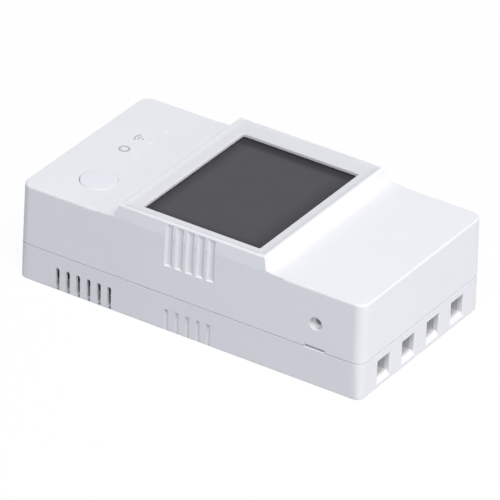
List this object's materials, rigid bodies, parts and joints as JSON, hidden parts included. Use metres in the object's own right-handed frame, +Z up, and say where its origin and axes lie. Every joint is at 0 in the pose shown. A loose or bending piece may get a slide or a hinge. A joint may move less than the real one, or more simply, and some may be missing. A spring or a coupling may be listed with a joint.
{
  "type": "smart relay module",
  "caption": "Wall-hung white relay module: two-part housing with vents and grips, raised display, push button, status lights and spring wire terminals.",
  "frame": {"origin": "bottom centre of the housing, on the face that lies on the wall or table", "axes": "+X along the housing towards the wire entries, +Y across it towards the edge away from the push button, +Z up through the display"},
  "size_m": [0.098, 0.054, 0.0296],
  "materials": {
    "housing_plastic": "fine moulded texture, white ABS",
    "frame_plastic": "satin moulded frame, white",
    "lens_glass": "clear acrylic window over a dark display, shown as the grey it reads as",
    "button_plastic": "white ABS",
    "pipe_plastic": "frosted polycarbonate",
    "display_glass": "bonded glass sheets with dark polariser",
    "white_plastic": "white moulded plastic",
    "strip_rubber": "striped conductive silicone",
    "laminate": "green solder resist on glass-epoxy laminate",
    "dark_laminate": "black solder resist on laminate",
    "led_plastic": "moulded light-emitting diode body",
    "black_plastic": "black moulded plastic",
    "brown_plastic": "brown moulded plastic",
    "shield_steel": "plated steel",
    "standoff_brass": "turned brass",
    "nylon": "pale grey polyamide",
    "copper": "copper strip and wire",
    "relay_plastic": "dark blue moulded cover",
    "tinned_pins": "tinned copper",
    "fuse_plastic": "brown moulded fuse case",
    "varistor_coat": "blue epoxy dip",
    "film_case": "yellow moulded case",
    "can_sleeve": "black sleeve on an aluminium can",
    "ferrite": "dark grey ferrite",
    "coil_tape": "yellow polyester tape"
  },
  "bodies": {
    "root": {"lower_housing": "housing_plastic", "lcd_panel": "display_glass", "light_box": "white_plastic", "contact_strip": "strip_rubber", "display_board": "laminate", "backlight_leds": "led_plastic", "status_leds": "led_plastic", "switch_body": "black_plastic", "radio_board": "dark_laminate", "radio_shield": "shield_steel", "main_board": "laminate", "board_standoffs": "standoff_brass", "display_screws": "shield_steel", "link_header": "black_plastic", "link_pins": "standoff_brass", "terminal_block": "nylon", "busbar_1": "copper", "busbar_2": "copper", "busbar_3": "copper", "busbar_4": "copper", "clamp_spring_1": "shield_steel", "clamp_spring_2": "shield_steel", "clamp_spring_3": "shield_steel", "clamp_spring_4": "shield_steel", "relay_cover": "relay_plastic", "relay_base": "black_plastic", "relay_bobbin": "white_plastic", "relay_winding": "copper", "relay_core": "shield_steel", "relay_yoke": "shield_steel", "relay_fixed_contact": "copper", "relay_pins": "tinned_pins", "current_shunt": "copper", "fuse": "fuse_plastic", "varistor": "varistor_coat", "film_capacitor": "film_case", "bulk_capacitor": "can_sleeve", "output_capacitor": "can_sleeve", "transformer_core": "ferrite", "transformer_coil": "coil_tape", "metering_chip": "black_plastic", "power_chip": "black_plastic"},
    "cover": {"upper_housing": "housing_plastic", "display_frame": "frame_plastic", "display_lens": "lens_glass", "light_pipe_1": "pipe_plastic", "light_pipe_2": "pipe_plastic", "light_pipe_3": "pipe_plastic"},
    "button": {"main_button": "button_plastic"},
    "plunger": {"switch_plunger": "brown_plastic"},
    "armature": {"relay_armature": "shield_steel", "relay_contact_arm": "copper"},
    "release_1": {"release_button_1": "white_plastic"},
    "release_2": {"release_button_2": "white_plastic"},
    "release_3": {"release_button_3": "white_plastic"},
    "release_4": {"release_button_4": "white_plastic"}
  },
  "joints": [
    {"name": "cover_lift", "type": "slide", "parent": "root", "child": "cover", "axis": [0, 0, 1], "range_m": [0, 0.04]},
    {"name": "button_press", "type": "slide", "parent": "cover", "child": "button", "axis": [0, 0, -1], "range_m": [0, 0.0004], "stiffness_N_per_m": 400, "springref_m": -0.0003},
    {"name": "plunger_press", "type": "slide", "parent": "root", "child": "plunger", "axis": [0, 0, -1], "range_m": [0, 0.0004]},
    {"name": "release_1_press", "type": "slide", "parent": "root", "child": "release_1", "axis": [0, 0, -1], "range_m": [0, 0.0018], "stiffness_N_per_m": 600, "springref_m": -0.0005, "deforming": ["clamp_spring_1"]},
    {"name": "release_2_press", "type": "slide", "parent": "root", "child": "release_2", "axis": [0, 0, -1], "range_m": [0, 0.0018], "stiffness_N_per_m": 600, "springref_m": -0.0005, "deforming": ["clamp_spring_2"]},
    {"name": "release_3_press", "type": "slide", "parent": "root", "child": "release_3", "axis": [0, 0, -1], "range_m": [0, 0.0018], "stiffness_N_per_m": 600, "springref_m": -0.0005, "deforming": ["clamp_spring_3"]},
    {"name": "release_4_press", "type": "slide", "parent": "root", "child": "release_4", "axis": [0, 0, -1], "range_m": [0, 0.0018], "stiffness_N_per_m": 600, "springref_m": -0.0005, "deforming": ["clamp_spring_4"]},
    {"name": "armature_close", "type": "hinge", "parent": "root", "child": "armature", "pos_m": [0.02575, 0.0052, 0.0203], "axis": [-1, 0, 0], "range_deg": [0, 4], "stiffness_Nm_per_rad": 0.02, "springref_deg": -2.86}
  ],
  "couplings": [
    {"joint": "plunger_press", "follows": "button_press", "ratio": 1}
  ]
}
